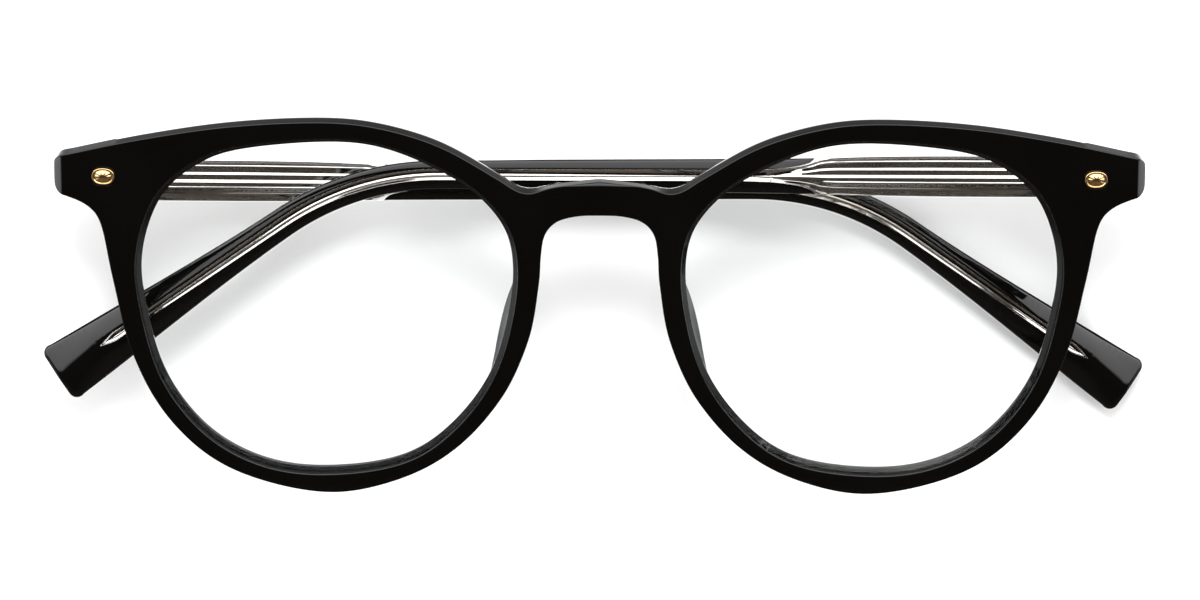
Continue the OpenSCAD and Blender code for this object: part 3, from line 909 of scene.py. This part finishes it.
# Light by direction, in degrees upward from straight ahead of the glasses, and how bright it is there.
STUDIO = [(-180, 1.5), (-172, 1.0), (-160, 0.2), (-95, 0.1), (-60, 0.16), (-38, 0.12), (-26, 0.05),
          (12, 0.05), (18, 2.1), (60, 3.0), (94, 4.0), (99, 0.03), (126, 0.03), (140, 0.1), (150, 0.12),
          (157, 0.22), (162, 0.5), (168, 1.2), (180, 1.5)]
# The directions in which the light is warm.
WARM = {-95, -60, -38, -26, 12}
WARM_TINT = (1, 0.82, 0.68)


def build_sheet():
    """The surface that the glasses lie on, just behind the folded temples. It moves back when they open."""
    size = 2.4
    rest_y = 0.0206
    tip_low = -WHOLE[-1][1]
    mesh = bpy.data.meshes.new("floor_sheet")
    mesh.from_pydata([(-size, 0, -size), (size, 0, -size), (size, 0, size), (-size, 0, size)], [],
                     [(0, 1, 2, 3)])
    mesh.materials.append(sheet_white())
    sheet = bpy.data.objects.new("floor_sheet", mesh)
    bpy.context.scene.collection.objects.link(sheet)
    sheet.location.y = rest_y
    sheet.visible_glossy = False
    driver = sheet.driver_add("location", 1).driver
    driver.type = "MAX"
    for side in ("left", "right"):
        tip = on_temple(side, [(TIP, tip_low, OUTER_N)])[0] * MM
        mark = bpy.data.objects.new("tip_mark_" + side, None)
        bpy.context.scene.collection.objects.link(mark)
        mark.location = (tip[0], rest_y, tip[2])
        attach(mark, side + "_temple")
        reach = driver.variables.new()
        reach.name = side
        reach.type = "TRANSFORMS"
        reach.targets[0].id = mark
        reach.targets[0].transform_type = "LOC_Y"
        reach.targets[0].transform_space = "WORLD_SPACE"


def build_world():
    """Surroundings: a soft box above the glasses and darkness ahead of them, for mirrored and bent rays."""
    world = bpy.data.worlds.new("studio")
    bpy.context.scene.world = world
    world.use_nodes = True
    tree = world.node_tree
    tree.nodes.clear()
    way = node(tree, "SeparateXYZ", Vector=node(tree, "TexCoord").outputs["Generated"])
    ahead = node(tree, "Math", {"operation": "MULTIPLY"}, i0=way.outputs[1], i1=-1.0).outputs[0]
    rise = node(tree, "Math", {"operation": "ARCTAN2"}, i0=way.outputs[2], i1=ahead).outputs[0]
    turn = node(tree, "MapRange", Value=rise, From_Min=-math.pi, From_Max=math.pi).outputs[0]
    ring = node(tree, "ValToRGB", Fac=turn)
    ramp_stops = ring.color_ramp.elements
    while len(ramp_stops) < len(STUDIO):
        ramp_stops.new(0.5)
    for stop, (degrees, light) in zip(ramp_stops, STUDIO):
        stop.position = (degrees + 180) / 360
        tint = WARM_TINT if degrees in WARM else (1, 1, 1)
        stop.color = (light * tint[0], light * tint[1], light * tint[2], 1)
    side = node(tree, "Math", {"operation": "ABSOLUTE"}, i0=way.outputs[0]).outputs[0]
    wing = node(tree, "MapRange", {"interpolation_type": "SMOOTHSTEP"}, Value=side, From_Min=0.82,
                From_Max=0.97).outputs[0]
    around = blend(tree, wing, ring.outputs[0], (0.7, 0.7, 0.71))
    # Shiny pieces mirror the studio, dull ones are lit by an even room, and the camera sees white.
    studio = node(tree, "Background", Color=around)
    room = node(tree, "Background", Color=(1, 0.995, 0.985, 1), Strength=0.95)
    pale = node(tree, "Background", Color=(1, 1, 1, 1))
    path = node(tree, "LightPath")
    soft = node(tree, "MixShader", i0=path.outputs["Is Diffuse Ray"], i1=studio.outputs[0],
                i2=room.outputs[0])
    mix = node(tree, "MixShader", i0=path.outputs["Is Camera Ray"], i1=soft.outputs[0],
               i2=pale.outputs[0])
    out = tree.nodes.new("ShaderNodeOutputWorld")
    tree.links.new(mix.outputs[0], out.inputs["Surface"])


def build_light(name, place, size, power):
    """A soft light for the surface and the shadows, which shiny pieces don't mirror."""
    target = Vector((0, 0.015, 0))
    data = bpy.data.lights.new(name, "AREA")
    data.shape = "DISK"
    data.size = size
    data.energy = power
    lamp = bpy.data.objects.new(name, data)
    bpy.context.scene.collection.objects.link(lamp)
    lamp.location = place
    lamp.rotation_mode = "QUATERNION"
    lamp.rotation_quaternion = (target - Vector(place)).to_track_quat("-Z", "Y")
    lamp.visible_glossy = False
    lamp.visible_transmission = False
    lamp.visible_camera = False


def build_camera():
    """Square to the surface that the glasses lie on, from about half a metre, and rolled a little."""
    away = 0.52
    width = 0.1513
    roll = math.radians(-0.2)
    data = bpy.data.cameras.new("camera")
    data.sensor_width = 36
    data.lens = 36 * away / width
    data.clip_start = 0.01
    data.clip_end = 20
    camera = bpy.data.objects.new("camera", data)
    bpy.context.scene.collection.objects.link(camera)
    camera.location = (0.0001, -away, 0.00095)
    camera.rotation_euler = (math.pi / 2, roll, 0)
    bpy.context.scene.camera = camera


# ---------------------------------------------------------------- the glasses

black = black_acetate()
clear = clear_acetate()
gold = metal("gold_plate", (0.85, 0.55, 0.24), (0.95, 0.68, 0.36), (0.12, 0.24), 900, (1, 1, 1), 0.1)
hinge_steel = metal("hinge_metal", (0.6, 0.6, 0.6), (0.75, 0.75, 0.74), (0.14, 0.3), 1500, (1, 1, 6), 0.12)
core_steel = metal("core_metal", (0.78, 0.75, 0.71), (0.93, 0.91, 0.88), (0.03, 0.1), 1400, (0.03, 1, 1),
                   0.03, along=True)
screw_steel = screw_metal()
nylon = washer_nylon()
smoky = pad_acetate()
coated = clear_lens()

build_front(black)
for word, sign in (("left", 1), ("right", -1)):
    build_lens("lens_" + word + "_coated", sign, coated)
    build_pad("nose_pad_" + word + "_smoky", sign, smoky)
    build_stud("stud_" + word + "_gold", sign, gold)
    build_temple(word, {"black": black, "clear": clear, "core": core_steel})

carried = {"front_hinge": hinge_steel, "temple_hinge": hinge_steel, "hinge_screw": screw_steel,
           "hinge_washers": nylon}
for start, material in carried.items():
    for word in ("left", "right"):
        part = frame["nodes"][start + "_" + word]
        part.data.materials.clear()
        part.data.materials.append(material)
        if start != "hinge_washers":
            bevel = part.modifiers.new("eased_edges", "BEVEL")
            bevel.width = 0.06 * MM
            bevel.segments = 2
            bevel.limit_method = "ANGLE"
            bevel.angle_limit = math.radians(40)

build_sheet()
build_world()
build_light("key", (0.0, -0.5, 0.27), 0.2, 2.3)
build_light("fill", (0.0, -0.6, -0.05), 0.8, 0.8)
build_camera()
bpy.context.scene.view_settings.view_transform = "Standard"
